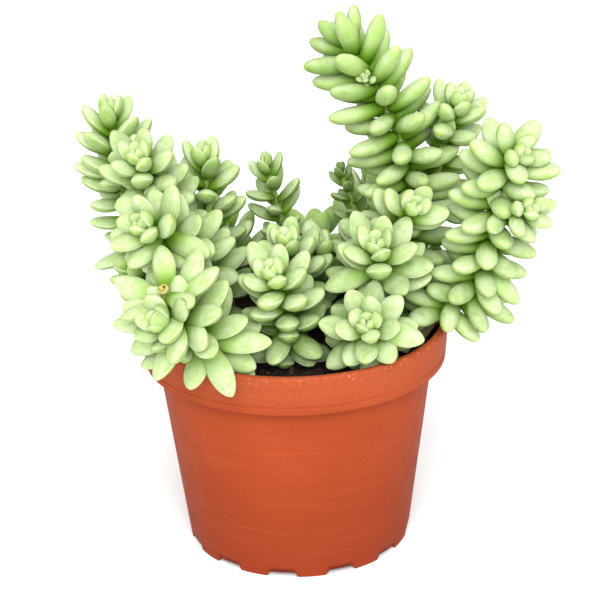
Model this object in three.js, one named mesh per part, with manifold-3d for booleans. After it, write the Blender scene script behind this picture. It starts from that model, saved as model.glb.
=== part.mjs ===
// A potted burro's tail: a plastic nursery pot, the soil in it and the leafy stems rooted in that soil.
// Millimetres, +Z up, standing on z = 0 with the middle of its outline at the origin.
import * as THREE from 'three';
import { mergeVertices } from 'three/addons/utils/BufferGeometryUtils.js';
import Module from 'manifold-3d';

const wasm = await Module();
wasm.setup();

// Pot: the 108 mm by 82 mm nursery size, a tapered body under a collar, on a scalloped foot
const POT_SIDES = 36;
const RIM_TOP = 82;
const RIM_RADIUS = 54;
const RIM_INNER_RADIUS = 51.2;
const LIP_ROUND = 0.7;
const COLLAR_HEIGHT = 14;
const COLLAR_RADIUS = 52.9;
const COLLAR_INNER_RADIUS = 50.2;
const BODY_RADIUS = 48.4;
const FOOT_RADIUS = 39.7;
const WALL = 1.5;
const FLOOR_UNDER = 3;
const FLOOR_TOP = 4.6;

// Twelve feet with notches between them, and the drainage holes in the floor
const FEET = 12;
const FIRST_NOTCH = 20.5;
const NOTCH_HEIGHT = 2.2;
const NOTCH_WIDTH = 10.6;
const NOTCH_TOP_WIDTH = 9;
const DRAIN_HOLES = 6;
const DRAIN_RADIUS = 3.5;
const DRAIN_CIRCLE = 26;
const DRAIN_SIDES = 8;

// Soil: its top, the gap that it keeps to the pot, the depth that the stems are planted, and the share of
// their distance from the middle that is left at their foot
const SOIL_TOP = 74;
const SOIL_GAP = 0.35;
const BURIED = 12;
const FOOT_DRAWN_IN = 0.94;
const STEM_HOLE_GAP = 0.3;

// Leaves stand on their stem in a spiral of this angle, and keep this far from other stems' leaves
const GOLDEN_ANGLE = THREE.MathUtils.degToRad(137.508);
const CLEARANCE = 0.55;
const POT_CLEARANCE = 0.4;

// A young leaf's size rises with this power of its place from the tip, and leaves stand this many times
// their habit's gap apart
const YOUNG_GROWTH = 0.85;
const WIDER = 1.12;

// How a leaf is drawn: stations along it for its clearance, and the rings of its solid. A leaf that still
// grows has the simpler rings, and the smallest ones are one bud, sized by the grown leaf's length.
const CLEARANCE_STATIONS = [0.24, 0.4, 0.56, 0.72, 0.86, 0.95];
const OUTER_STATIONS = 2;
const GROWN_RINGS = { sides: 4, at: [0.46, 0.84] };
const YOUNG_RINGS = { sides: 3, at: [0.58] };
const RING_SWELL = 1.06;
const ROOT_DEPTH = 0.2;
const GROWN_SIZE = 0.9;
const SMALLEST_LEAF = 0.75;
const BUD_REACH = 0.38;
const BUD_RADIUS = 0.24;
const BUD_SIDES = 5;

// How a stem is drawn
const STEM_SIDES = 4;
const STEM_PITCH = 12;
const ROUTE_SAMPLES = 24;
const STEP = 1.5;
const SPLINTER = 0.2;

// Five habits of growth. Lengths are millimetres and angles are degrees. leaf, width and thick are a grown
// leaf's size, gap is the rise from one leaf to the next, young is the number of leaves that are still
// growing at the tip, open is how far past them leaves still spread, tilts are the leaf's angles
// from the stem at the tip, past the young leaves and far down, blunt rounds its ends and curve bends it.
const HABITS = {
  broad: { leaf: 18.5, width: 8.8, thick: 6, gap: 1.75, young: 13, open: 1.35, blunt: 0.54,
    tilts: [10, 72, 94], curve: 16 },
  plump: { leaf: 18, width: 7.4, thick: 6.4, gap: 1.75, young: 11, open: 1.25, blunt: 0.42,
    tilts: [12, 64, 86], curve: 14 },
  close: { leaf: 15.5, width: 7.8, thick: 6, gap: 1.8, young: 12, open: 1.4, blunt: 0.47,
    tilts: [10, 68, 91], curve: 20 },
  loose: { leaf: 15, width: 6.9, thick: 5.4, gap: 2, young: 10, open: 1.3, blunt: 0.47,
    tilts: [10, 62, 88], curve: 20 },
  small: { leaf: 11, width: 5.2, thick: 4.1, gap: 2.6, young: 9, open: 1.2, blunt: 0.48,
    tilts: [10, 60, 84], curve: 16 },
};
const USUAL = { bud: 0.1, first: 0.3, phase: 0, base: 2, tip: 1.2, aims: [] };

// Places kept free of leaves, as a centre and a radius: the stub of the front left stem shows there
const KEPT_FREE = [{ centre: new THREE.Vector3(-42.5, -56, 116.5), radius: 3.2 }];

// Each stem runs through its points from the soil to its tip. bare is its leafless length above the soil,
// base and tip are its radii, and aims are leaves set by hand: back from the tip, reached point, length.
// A shoot names the stem that it grows from in on. The first stems listed keep their leaves straightest.
const STEMS = [
  { name: 'stem_front_left', habit: 'broad', bare: 12, leaf: 20.5, width: 8.6, gap: 2.05, young: 4,
    bud: 0.8, first: 2.5, tilts: [70, 76, 94], phase: 41.5, tip: 1.8, aims: [[27, [-18.5, -60, 78], 25],
    [16, [-45, -62, 85.5], 22], [29, [-7, -50, 92], 25]], points: [[-24, -22, 74], [-27.5, -33, 84],
    [-33, -43, 95], [-38, -49.5, 105], [-41.5, -53, 114]] },
  { name: 'front_shoot', on: 'stem_front_left', habit: 'broad', bare: 3, leaf: 17, width: 8.4,
    points: [[-34, -46, 98.5], [-37.5, -53, 102], [-40.5, -58.5, 105], [-42.5, -63, 107.5]] },
  { name: 'stem_tall', habit: 'plump', bare: 14, leaf: 19.4, width: 7.6, young: 10, bud: 0.07, first: 1,
    tilts: [15, 68, 89], phase: 228, points: [[38.5, 10, 74], [39.5, 8, 98], [40.5, 6, 118], [40, 4, 132],
    [37, 3, 146], [31.5, 3, 158.5], [26, 4, 168.5], [21.5, 6, 175], [18, 9, 180]] },
  { name: 'tall_bud', on: 'stem_tall', habit: 'small', bare: 1, leaf: 5, width: 3, thick: 2.4, gap: 0.9,
    base: 0.8, tip: 0.6, points: [[28, 3.5, 165.5], [26.5, -0.5, 167], [25.5, -3.5, 168.5]] },
  { name: 'stem_right_outer', habit: 'plump', bare: 10, leaf: 17, width: 8, gap: 1.65,
    tilts: [10, 78, 102], phase: 215, aims: [[48, [73.5, -22, 93.5], 18], [61, [73.5, -24, 87], 18.5]],
    points: [[43, -7, 74], [52, -11, 88.5], [60.5, -14, 96], [64, -16.5, 106], [66.5, -18.5, 118],
    [68.5, -20, 130], [70, -21.5, 139], [71.5, -25, 145.5], [74, -31, 149]] },
  { name: 'outer_shoot', on: 'stem_right_outer', habit: 'loose', bare: 4, leaf: 12.8, width: 6.3,
    gap: 1.6, phase: 59, points: [[68, -19.5, 122], [70.5, -25, 126], [74, -31, 129.5],
    [76.5, -37, 132.5]] },
  { name: 'stem_front_right', habit: 'broad', bare: 6, leaf: 17, width: 8.2, gap: 1.6,
    aims: [[7.5, [42.5, -42, 90], 18.5], [15, [16.5, -45, 82.5], 16]], points: [[26.5, -14, 74],
    [26, -24, 82], [24.5, -34, 89.5], [23.5, -45, 97]] },
  { name: 'stem_right_front', habit: 'broad', bare: 8, leaf: 19, gap: 1.6,
    aims: [[23.5, [49, -18, 93], 20], [11.5, [10, -26, 101], 20], [13, [47.5, -24, 106], 19]],
    points: [[31.5, 0, 74], [31, -8, 89.5], [29.5, -17, 104], [28, -27, 117]] },
  { name: 'stem_center_front', habit: 'close', bare: 3, leaf: 15.5, width: 8.2, gap: 1.75,
    aims: [[29.5, [-8.5, -41, 81], 19], [31, [8, -38, 81.5], 18]], points: [[-2, -17, 74], [-2, -22, 82],
    [-3.5, -27, 96], [-5.5, -31, 106], [-7, -37, 113]] },
  { name: 'stem_left_low', habit: 'close', bare: 12, leaf: 17, width: 8, points: [[-26, 2, 74],
    [-28, -4, 95.5], [-33.5, -14, 111], [-41, -26, 122], [-48, -40, 131.5]] },
  { name: 'stem_right_middle', habit: 'close', bare: 22, points: [[21, 13, 74], [25.5, 8, 98.5],
    [31.5, -2, 111.5], [36.5, -12, 121], [40.5, -23, 129]] },
  { name: 'stem_left_middle', habit: 'close', bare: 16, leaf: 16, width: 7.4, points: [[-32, 16, 74],
    [-38, 10, 99.5], [-43.5, 2, 119.5], [-47.5, -8, 135.5], [-50, -19, 148]] },
  { name: 'stem_center', habit: 'close', bare: 10, leaf: 14.5, width: 7.4, points: [[3, 0, 74],
    [2, -3, 93.5], [-0.5, -8, 105], [-2, -14, 115.5]] },
  { name: 'stem_right_back', habit: 'close', bare: 26, leaf: 14.5, width: 6.8, points: [[39, 21, 74],
    [48, 18, 105], [51, 12, 129.5], [54, 6, 147], [57, -1, 159]] },
  { name: 'stem_left_outer', habit: 'loose', bare: 14, leaf: 15.5, gap: 2.1, phase: 105,
    aims: [[16, [-74, 18, 144.5], 15], [24.5, [-75, 20, 132], 15.5], [55, [-70.5, 22, 93], 19]],
    points: [[-37, 27, 74], [-42, 27, 84], [-51, 26, 96], [-58, 22, 117], [-60.5, 18, 136],
    [-61.5, 16, 153.5]] },
  { name: 'stem_left_back', habit: 'loose', bare: 14, leaf: 15.5, width: 7.3, gap: 2.05,
    points: [[-23, 26, 74], [-25.5, 22, 94.5], [-28, 17, 112.5], [-29.5, 13, 127], [-30, 11, 137.5]] },
  { name: 'stem_back_slender', habit: 'small', bare: 16, leaf: 12.5, width: 5.8, base: 1.5, tip: 0.9,
    points: [[-1, 36, 74], [-2.5, 34, 97], [-4.5, 31, 110.5], [-7, 28, 122.5], [-8.5, 27, 130]] },
  { name: 'stem_back_sprig', habit: 'small', bare: 20, leaf: 8.5, width: 4, thick: 3, gap: 2.4, base: 1.3,
    tip: 0.8, points: [[27, 34, 74], [25.5, 36, 97.5], [22, 34, 111.5], [19, 33, 120.5], [18, 34, 125.5]] },
  { name: 'stem_center_back', habit: 'close', bare: 8, width: 8.4, points: [[8.5, 12, 74], [11, 10, 88],
    [11, 8, 99], [9, 4, 107]] },
  { name: 'stem_rear_left', habit: 'close', bare: 10, points: [[-14, 37, 74], [-22, 46, 91],
    [-32, 56, 97], [-41, 64, 95]] },
  { name: 'stem_rear_middle', habit: 'close', bare: 10, points: [[6, 41, 74], [7, 47, 85.5],
    [8, 60, 88.5], [9, 71, 80]] },
  { name: 'stem_rear_right', habit: 'close', bare: 12, points: [[14, 38, 74], [21, 46, 92], [30, 55, 105],
    [36, 61, 114]] },
  { name: 'stem_far_left', habit: 'loose', bare: 10, leaf: 13, points: [[-42, 9, 74], [-50.5, 12, 90.5],
    [-58.5, 16.5, 97.5]] },
  { name: 'stem_far_right', habit: 'close', bare: 12, leaf: 14, points: [[43.5, 3, 74], [50.5, 13, 91],
    [61, 24, 93], [69, 31, 85]] },
];

const TERRACOTTA = new THREE.MeshStandardMaterial({ color: 0xc9563a, roughness: 0.5, metalness: 0 });
const POTTING_MIX = new THREE.MeshStandardMaterial({ color: 0x241c16, roughness: 0.95, metalness: 0 });
const LEAF_GREEN = new THREE.MeshStandardMaterial({ color: 0xa9cf85, roughness: 0.55, metalness: 0 });

const radians = THREE.MathUtils.degToRad;

function ease(t) {
  const s = Math.min(Math.max(t, 0), 1);
  return s * s * (3 - 2 * s);
}

// Seeded random draws, even between -amount and amount
function drawsFrom(seed) {
  let state = seed;
  return (amount) => {
    state = (Math.imul(state, 1664525) + 1013904223) >>> 0;
    return ((2 * state) / 4294967296 - 1) * amount;
  };
}

// ---- Solids

function solidFrom(geometry) {
  geometry.deleteAttribute('normal');
  geometry.deleteAttribute('uv');
  const merged = mergeVertices(geometry, 1e-4);
  const corners = merged.index.array;
  const faces = [];
  for (let k = 0; k < corners.length; k += 3) {
    const [a, b, c] = corners.slice(k, k + 3);
    if (a !== b && b !== c && c !== a) faces.push(a, b, c);
  }
  const mesh = new wasm.Mesh({
    numProp: 3,
    vertProperties: Float32Array.from(merged.attributes.position.array),
    triVerts: Uint32Array.from(faces),
  });
  return new wasm.Manifold(mesh);
}

function geometryFrom(solid) {
  const mesh = solid.getMesh();
  const geometry = new THREE.BufferGeometry();
  geometry.setAttribute('position', new THREE.BufferAttribute(mesh.vertProperties, 3));
  geometry.setIndex(new THREE.BufferAttribute(mesh.triVerts, 1));
  geometry.computeVertexNormals();
  return geometry;
}

function turned(profile, sides) {
  const points = profile.map(([radius, z]) => new THREE.Vector2(radius, z));
  return solidFrom(new THREE.LatheGeometry(points, sides).rotateX(Math.PI / 2));
}

// A closed body through rings of points, each ring counter-clockwise about the way that the body runs
function lofted(rings) {
  const points = rings.flat();
  const faces = [];
  let start = 0;
  for (let k = 0; k + 1 < rings.length; k += 1) {
    const next = start + rings[k].length;
    const count = Math.max(rings[k].length, rings[k + 1].length);
    for (let i = 0; i < count; i += 1) {
      const j = (i + 1) % count;
      if (rings[k].length === 1) faces.push(start, next + j, next + i);
      else if (rings[k + 1].length === 1) faces.push(start + i, start + j, next);
      else faces.push(start + i, start + j, next + j, start + i, next + j, next + i);
    }
    start = next;
  }
  const geometry = new THREE.BufferGeometry().setFromPoints(points);
  geometry.setIndex(faces);
  return solidFrom(geometry);
}

function ringAround(centre, across, up, width, height, sides) {
  return Array.from({ length: sides }, (_, k) => {
    const angle = (2 * Math.PI * k) / sides + Math.PI / 2;
    return centre.clone()
      .addScaledVector(across, width * Math.cos(angle))
      .addScaledVector(up, height * Math.sin(angle));
  });
}

// ---- A stem's route: a smooth curve through its points, with side directions carried along it untwisted

class Route {
  constructor(points) {
    const curve = new THREE.CatmullRomCurve3(points, false, 'catmullrom', 0.5);
    this.points = curve.getPoints(ROUTE_SAMPLES * (points.length - 1));
    this.marks = [0];
    for (let k = 1; k < this.points.length; k += 1) {
      this.marks.push(this.marks[k - 1] + this.points[k].distanceTo(this.points[k - 1]));
    }
    this.length = this.marks.at(-1);
    this.sides = [];
    let side = new THREE.Vector3(0, -1, 0);
    const count = Math.floor(this.length / STEP);
    for (let k = 0; k <= count; k += 1) {
      side = acrossFrom(side, this.heading((this.length * k) / count));
      this.sides.push(side);
    }
  }

  at(distance) {
    const d = Math.min(Math.max(distance, 0), this.length);
    let k = 1;
    while (k < this.marks.length - 1 && this.marks[k] < d) k += 1;
    const share = (d - this.marks[k - 1]) / (this.marks[k] - this.marks[k - 1]);
    return this.points[k - 1].clone().lerp(this.points[k], share);
  }

  heading(distance) {
    return this.at(distance + STEP).sub(this.at(distance - STEP)).normalize();
  }

  axes(distance) {
    const along = this.heading(distance);
    const mark = Math.floor((distance / this.length) * (this.sides.length - 1) + 0.5);
    const side = this.sides[Math.min(Math.max(mark, 0), this.sides.length - 1)];
    const first = acrossFrom(side, along);
    return { along, first, second: along.clone().cross(first) };
  }
}

function acrossFrom(side, along) {
  return side.clone().addScaledVector(along, -side.dot(along)).normalize();
}

// ---- Leaves

// A leaf's half-width from root (0) to tip (1), as a share of its widest
function outline(u, blunt) {
  const body = Math.max(Math.sin(Math.PI * u ** 1.2), 0) ** blunt;
  return body + 0.3 * Math.max(1 - u / 0.35, 0);
}

function stemRadius(stem, distance) {
  return stem.base + ((stem.tip - stem.base) * distance) / stem.route.length;
}

function leavesWanted(stem) {
  const draw = drawsFrom(stem.seed);
  const { route } = stem;
  const leaves = stem.aims.map(([back, aim, length]) => {
    const at = route.length - back;
    const { along, first, second } = route.axes(at);
    const way = new THREE.Vector3(...aim).sub(route.at(at)).normalize();
    return {
      at, length, age: 1, size: 1, width: stem.width, thick: stem.thick, curve: 0.5 * radians(stem.curve),
      azimuth: Math.atan2(way.dot(second), way.dot(first)), tilt: Math.acos(way.dot(along)),
    };
  });
  const [near, middle, far] = stem.tilts;
  const lowest = stem.bare + (stem.on ? 0 : BURIED);
  let back = stem.first;
  for (let i = 0; route.length - back > lowest; i += 1) {
    const age = ease(i / stem.young);
    const old = ease((i - stem.young) / 20);
    const grown = Math.min(i / stem.young, 1) ** YOUNG_GROWTH;
    const size = (stem.bud + (1 - stem.bud) * grown) * (1 - 0.1 * old);
    const spread = (middle - near) * ease(i / (stem.open * stem.young)) + (far - middle) * old;
    leaves.push({
      at: route.length - back,
      age,
      tilt: radians(near + spread + draw(5) * age),
      azimuth: radians(stem.phase + draw(7) * age) + GOLDEN_ANGLE * i,
      length: stem.leaf * size * (1 + draw(0.08) * age),
      width: stem.width * size ** 0.65,
      thick: stem.thick * size ** 0.65,
      curve: radians(stem.curve) * (0.6 + 0.4 * age),
      size,
    });
    back += WIDER * stem.gap * (0.18 + 0.82 * ease((i + 1) / stem.young));
  }
  return leaves;
}

// A leaf set on its stem. way is where it points, up is where its upper face looks, and it curves that way.
function posed(stem, leaf, bend) {
  const tilt = leaf.tilt + radians(bend.tilt);
  const azimuth = leaf.azimuth + radians(bend.turn);
  const { along, first, second } = stem.route.axes(leaf.at);
  const out = first.clone().multiplyScalar(Math.cos(azimuth)).addScaledVector(second, Math.sin(azimuth));
  const way = along.clone().multiplyScalar(Math.cos(tilt)).addScaledVector(out, Math.sin(tilt));
  const up = along.clone().multiplyScalar(Math.sin(tilt)).addScaledVector(out, -Math.cos(tilt));
  return {
    ...leaf, way, up,
    across: way.clone().cross(up),
    root: stem.route.at(leaf.at).addScaledVector(out, 0.5 * stem.tip),
    length: leaf.length * bend.shrink,
    width: leaf.width * bend.shrink ** 0.5,
    blunt: stem.blunt,
  };
}

function onAxis(leaf, u) {
  return leaf.root.clone()
    .addScaledVector(leaf.way, leaf.length * u)
    .addScaledVector(leaf.up, 0.5 * leaf.length * leaf.curve * u * u);
}

function leafSolid(leaf) {
  const drawn = leaf.size < GROWN_SIZE ? YOUNG_RINGS : GROWN_RINGS;
  const down = leaf.up.clone().negate();
  const rings = drawn.at.map((u) => {
    const share = 0.5 * RING_SWELL * outline(u, leaf.blunt);
    const [width, thick] = [share * leaf.width, share * leaf.thick];
    return ringAround(onAxis(leaf, u), leaf.across, down, width, thick, drawn.sides);
  });
  const root = leaf.root.clone().addScaledVector(leaf.way, -ROOT_DEPTH);
  return lofted([[root], ...rings, [onAxis(leaf, 1)]]);
}

// The unopened leaves at a stem's tip
function budSolid({ route, leaf }) {
  const end = route.at(route.length);
  const { along, first, second } = route.axes(route.length);
  const ring = ringAround(end, first, second, BUD_RADIUS * leaf, BUD_RADIUS * leaf, BUD_SIDES);
  const [low, high] = [-1, 1].map((way) => end.clone().addScaledVector(along, way * BUD_REACH * leaf));
  return lofted([[low], ring, [high]]);
}

// Balls that fill a leaf, for its clearance: two side by side at each station
function ballsIn(leaf) {
  return CLEARANCE_STATIONS.flatMap((u) => {
    const share = outline(u, leaf.blunt);
    const radius = 0.5 * leaf.thick * share;
    const reach = 0.5 * (leaf.width - leaf.thick) * share;
    const middle = onAxis(leaf, u);
    return [-reach, reach].map((d) => ({ centre: middle.clone().addScaledVector(leaf.across, d), radius }));
  });
}

const BENDS = [];
for (const shrink of [1, 0.88, 0.76, 0.64]) {
  for (const tilt of [0, -12, 12, -24, 24, -36, 36, -48]) {
    for (const turn of [0, 14, -14, 28, -28]) {
      const effort = Math.abs(tilt) / 12 + Math.abs(turn) / 13 + (1 - shrink) / 0.075;
      BENDS.push({ tilt, turn, shrink, effort });
    }
  }
}
BENDS.sort((a, b) => a.effort - b.effort);

function touchesPot({ centre, radius }) {
  const outward = Math.hypot(centre.x, centre.y);
  const low = centre.z - radius;
  if (low < SOIL_TOP + POT_CLEARANCE && outward < RIM_INNER_RADIUS) return true;
  return low < RIM_TOP + POT_CLEARANCE && outward - radius < RIM_RADIUS + POT_CLEARANCE
    && outward + radius > RIM_INNER_RADIUS - POT_CLEARANCE;
}

function tooNear(balls, others, gap, share) {
  return balls.some((a) => others.some((b) => {
    const reach = share * (a.radius + b.radius) + gap;
    return a.centre.distanceToSquared(b.centre) < reach * reach;
  }));
}

function within(balls, centre, reach) {
  return balls.filter((ball) => ball.centre.distanceToSquared(centre) < reach * reach);
}

// Bends or shortens a leaf, as little as it takes, until it is clear of the pot and of its neighbours
function settled(stem, leaf, others, grown) {
  const root = stem.route.at(leaf.at);
  const nearOthers = within(others, root, 36);
  const nearGrown = within(grown, root, 36);
  for (const bend of BENDS) {
    if (leaf.tilt + radians(bend.tilt) < 0.1) continue;
    const trial = posed(stem, leaf, bend);
    const balls = ballsIn(trial);
    if (balls.some(touchesPot)) continue;
    if (tooNear(balls, nearOthers, CLEARANCE, 1)) continue;
    if (leaf.age > 0.5 && tooNear(balls.slice(2 * OUTER_STATIONS), nearGrown, 0, 0.85)) continue;
    return { leaf: trial, balls };
  }
  return null;
}

// ---- Growing the plant

function planted(given, index) {
  const stem = { ...USUAL, ...HABITS[given.habit], ...given, seed: 7 * index + 3 };
  stem.node = stem.on ?? stem.name;
  const points = stem.points.map((point) => new THREE.Vector3(...point));
  if (!stem.on) points.unshift(points[0].clone().multiplyScalar(FOOT_DRAWN_IN).setZ(SOIL_TOP - BURIED));
  stem.route = new Route(points);
  stem.leaves = [];
  return stem;
}

function grow() {
  const stems = STEMS.map(planted);
  const nodes = new Map();
  for (const stem of stems) {
    if (!nodes.has(stem.node)) nodes.set(stem.node, { balls: [], grown: [] });
    const { balls } = nodes.get(stem.node);
    for (let distance = 0; distance < stem.route.length - STEP; distance += STEP) {
      balls.push({ centre: stem.route.at(distance), radius: stemRadius(stem, distance) });
    }
  }
  for (const stem of stems) {
    const own = nodes.get(stem.node);
    const neighbours = [...nodes.values()].filter((node) => node !== own);
    const others = [...KEPT_FREE, ...neighbours.flatMap((node) => node.balls)];
    for (const wanted of leavesWanted(stem)) {
      const found = settled(stem, wanted, others, own.grown);
      if (!found) continue;
      stem.leaves.push(found.leaf);
      own.balls.push(...found.balls);
      if (wanted.age > 0.5) own.grown.push(...found.balls.slice(2 * OUTER_STATIONS));
    }
  }
  return stems;
}

// A stem's own body, or with a gap, the hole that it stands in
function stemTube(stem, gap) {
  const { route } = stem;
  const count = Math.ceil(route.length / STEM_PITCH);
  const rings = [];
  for (let k = 0; k <= count; k += 1) {
    const distance = (route.length * k) / count;
    const { first, second } = route.axes(distance);
    const radius = stemRadius(stem, distance) + gap / Math.cos(Math.PI / STEM_SIDES);
    rings.push(ringAround(route.at(distance), first, second, radius, radius, STEM_SIDES));
  }
  const foot = route.at(0).addScaledVector(route.heading(0), -gap);
  rings.unshift([foot]);
  rings[1].forEach((point) => point.addScaledVector(route.heading(0), -gap));
  rings.push([route.at(route.length)]);
  return lofted(rings);
}

// The largest body that is left once the pieces are joined, without trapped hollows or loose scraps
function joined(pieces) {
  const bodies = wasm.Manifold.union(pieces).simplify(SPLINTER).decompose();
  return bodies.reduce((best, body) => (body.volume() > best.volume() ? body : best));
}

function leafyStem(name, stems) {
  const pieces = stems.filter((stem) => stem.node === name).flatMap((stem) => [
    stemTube(stem, 0),
    ...(stem.bud < SMALLEST_LEAF ? [budSolid(stem)] : []),
    ...stem.leaves.filter(({ size }) => size >= SMALLEST_LEAF).map(leafSolid),
  ]);
  return joined(pieces);
}

// ---- Pot and soil

function bodyRadius(z) {
  return FOOT_RADIUS + ((BODY_RADIUS - FOOT_RADIUS) * z) / (RIM_TOP - COLLAR_HEIGHT);
}

function potSolid() {
  const ledge = RIM_TOP - COLLAR_HEIGHT;
  let pot = turned([
    [0, FLOOR_UNDER], [bodyRadius(FLOOR_UNDER) - WALL, FLOOR_UNDER],
    [FOOT_RADIUS - WALL, 0], [FOOT_RADIUS, 0], [BODY_RADIUS, ledge], [COLLAR_RADIUS, ledge],
    [RIM_RADIUS, RIM_TOP - LIP_ROUND], [RIM_RADIUS - LIP_ROUND, RIM_TOP],
    [RIM_INNER_RADIUS + LIP_ROUND, RIM_TOP], [RIM_INNER_RADIUS, RIM_TOP - LIP_ROUND],
    [COLLAR_INNER_RADIUS, ledge + WALL], [BODY_RADIUS - WALL, ledge + WALL],
    [bodyRadius(FLOOR_TOP) - WALL, FLOOR_TOP], [0, FLOOR_TOP],
  ], POT_SIDES);
  const notch = new THREE.Shape([
    new THREE.Vector2(-NOTCH_WIDTH / 2, -1), new THREE.Vector2(NOTCH_WIDTH / 2, -1),
    new THREE.Vector2(NOTCH_WIDTH / 2, 0), new THREE.Vector2(NOTCH_TOP_WIDTH / 2, NOTCH_HEIGHT),
    new THREE.Vector2(-NOTCH_TOP_WIDTH / 2, NOTCH_HEIGHT), new THREE.Vector2(-NOTCH_WIDTH / 2, 0),
  ]);
  for (let k = 0; k < FEET; k += 1) {
    const cut = new THREE.ExtrudeGeometry(notch, { depth: 6 * WALL, bevelEnabled: false })
      .rotateX(Math.PI / 2)
      .translate(0, -(FOOT_RADIUS - 3 * WALL), 0)
      .rotateZ(radians(FIRST_NOTCH + (360 * k) / FEET));
    pot = pot.subtract(solidFrom(cut));
  }
  for (let k = 0; k < DRAIN_HOLES; k += 1) {
    const drill = new THREE.CylinderGeometry(DRAIN_RADIUS, DRAIN_RADIUS, 2 * FLOOR_TOP, DRAIN_SIDES)
      .rotateX(Math.PI / 2)
      .translate(DRAIN_CIRCLE, 0, FLOOR_TOP)
      .rotateZ((2 * Math.PI * k) / DRAIN_HOLES);
    pot = pot.subtract(solidFrom(drill));
  }
  return pot;
}

function soilSolid(stems) {
  const ledge = RIM_TOP - COLLAR_HEIGHT + WALL;
  let soil = turned([
    [0, FLOOR_TOP + SOIL_GAP], [bodyRadius(FLOOR_TOP) - WALL - SOIL_GAP, FLOOR_TOP + SOIL_GAP],
    [BODY_RADIUS - WALL - SOIL_GAP, ledge + SOIL_GAP], [COLLAR_INNER_RADIUS - SOIL_GAP, ledge + SOIL_GAP],
    [COLLAR_INNER_RADIUS - SOIL_GAP, SOIL_TOP], [0, SOIL_TOP],
  ], POT_SIDES);
  for (const stem of stems.filter(({ on }) => !on)) soil = soil.subtract(stemTube(stem, STEM_HOLE_GAP));
  return soil;
}

// ---- The plant in its pot

const stems = grow();
const part = new THREE.Group();

function add(name, solid, material) {
  const mesh = new THREE.Mesh(geometryFrom(solid), material);
  mesh.name = name;
  part.add(mesh);
}

add('pot', potSolid(), TERRACOTTA);
add('soil', soilSolid(stems), POTTING_MIX);
for (const { name } of stems.filter(({ on }) => !on)) {
  add(name, leafyStem(name, stems), LEAF_GREEN);
}

const middle = new THREE.Box3().setFromObject(part).getCenter(new THREE.Vector3());
part.position.set(-middle.x, -middle.y, 0);

export default part;
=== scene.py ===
import math

import bpy
import numpy as np
from mathutils import Matrix, Vector, noise


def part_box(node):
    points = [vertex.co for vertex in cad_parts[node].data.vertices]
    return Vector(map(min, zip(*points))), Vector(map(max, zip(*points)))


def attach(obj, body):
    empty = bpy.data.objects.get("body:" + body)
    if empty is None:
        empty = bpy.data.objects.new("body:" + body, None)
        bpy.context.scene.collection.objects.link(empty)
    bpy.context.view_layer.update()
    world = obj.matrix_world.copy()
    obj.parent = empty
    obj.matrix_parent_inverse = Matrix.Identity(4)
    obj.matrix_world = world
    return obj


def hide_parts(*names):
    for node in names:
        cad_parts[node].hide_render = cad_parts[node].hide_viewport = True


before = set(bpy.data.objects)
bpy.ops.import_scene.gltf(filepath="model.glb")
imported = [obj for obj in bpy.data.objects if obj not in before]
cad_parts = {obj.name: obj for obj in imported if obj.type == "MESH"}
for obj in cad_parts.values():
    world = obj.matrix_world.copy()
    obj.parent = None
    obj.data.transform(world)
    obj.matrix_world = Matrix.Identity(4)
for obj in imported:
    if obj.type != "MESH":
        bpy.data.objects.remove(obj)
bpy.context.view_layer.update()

MM = 0.001
POT_LOW, POT_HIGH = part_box("pot")
POT_AXIS = Vector(((POT_LOW.x + POT_HIGH.x) / 2, (POT_LOW.y + POT_HIGH.y) / 2, 0))

# ---- Camera: where the photograph was taken from, counted from the pot's axis at its foot

CAMERA_AT = (0, -603.5, 329.8)
CAMERA_DOWN = math.radians(21.845)
CAMERA_TURN = math.radians(-0.198)
CAMERA_ROLL = math.radians(-1.471)
SENSOR = 36
FOCAL = 111.56


def make_camera():
    data = bpy.data.cameras.new("camera")
    data.sensor_width = SENSOR
    data.lens = FOCAL
    camera = bpy.data.objects.new("camera", data)
    turn = Matrix.Rotation(CAMERA_TURN, 4, "Z") @ Matrix.Rotation(math.pi / 2 - CAMERA_DOWN, 4, "X")
    place = Matrix.Translation(Vector(CAMERA_AT) * MM + POT_AXIS)
    camera.matrix_world = place @ turn @ Matrix.Rotation(CAMERA_ROLL, 4, "Z")
    bpy.context.scene.collection.objects.link(camera)
    bpy.context.scene.camera = camera


# ---- Pot and soil sizes

RIM_TOP = 82
RIM_RADIUS = 54
RIM_INNER_RADIUS = 51.2
COLLAR_HEIGHT = 14
COLLAR_RADIUS = 52.9
COLLAR_INNER_RADIUS = 50.2
BODY_RADIUS = 48.4
FOOT_RADIUS = 39.7
WALL = 1.5
FLOOR_UNDER = 3
FLOOR_TOP = 4.6
FEET = 12
FIRST_NOTCH = math.radians(20.5)
NOTCH_HEIGHT = 2.2
NOTCH_WIDTH = 10.6
NOTCH_TOP_WIDTH = 9
DRAIN_HOLES = 6
DRAIN_RADIUS = 3.5
DRAIN_CIRCLE = 26
GROOVE_LIFT = 2.4
GROOVE_DEPTH = 0.3
DRAIN_ROUND = 2 * np.pi * np.arange(40) / 40
POT_SEGMENTS = 432
POT_STEP = 4
POT_UNEVEN = 0.12
HUB_RADIUS = 0.5
CORNER_STEPS = 6
SOIL_TOP = 74
SOIL_GAP = 0.35
BURIED = 12
FOOT_DRAWN_IN = 0.94

# ---- The plant: the same stems and rule of growth as the solids, with closer and finer leaves

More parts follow.
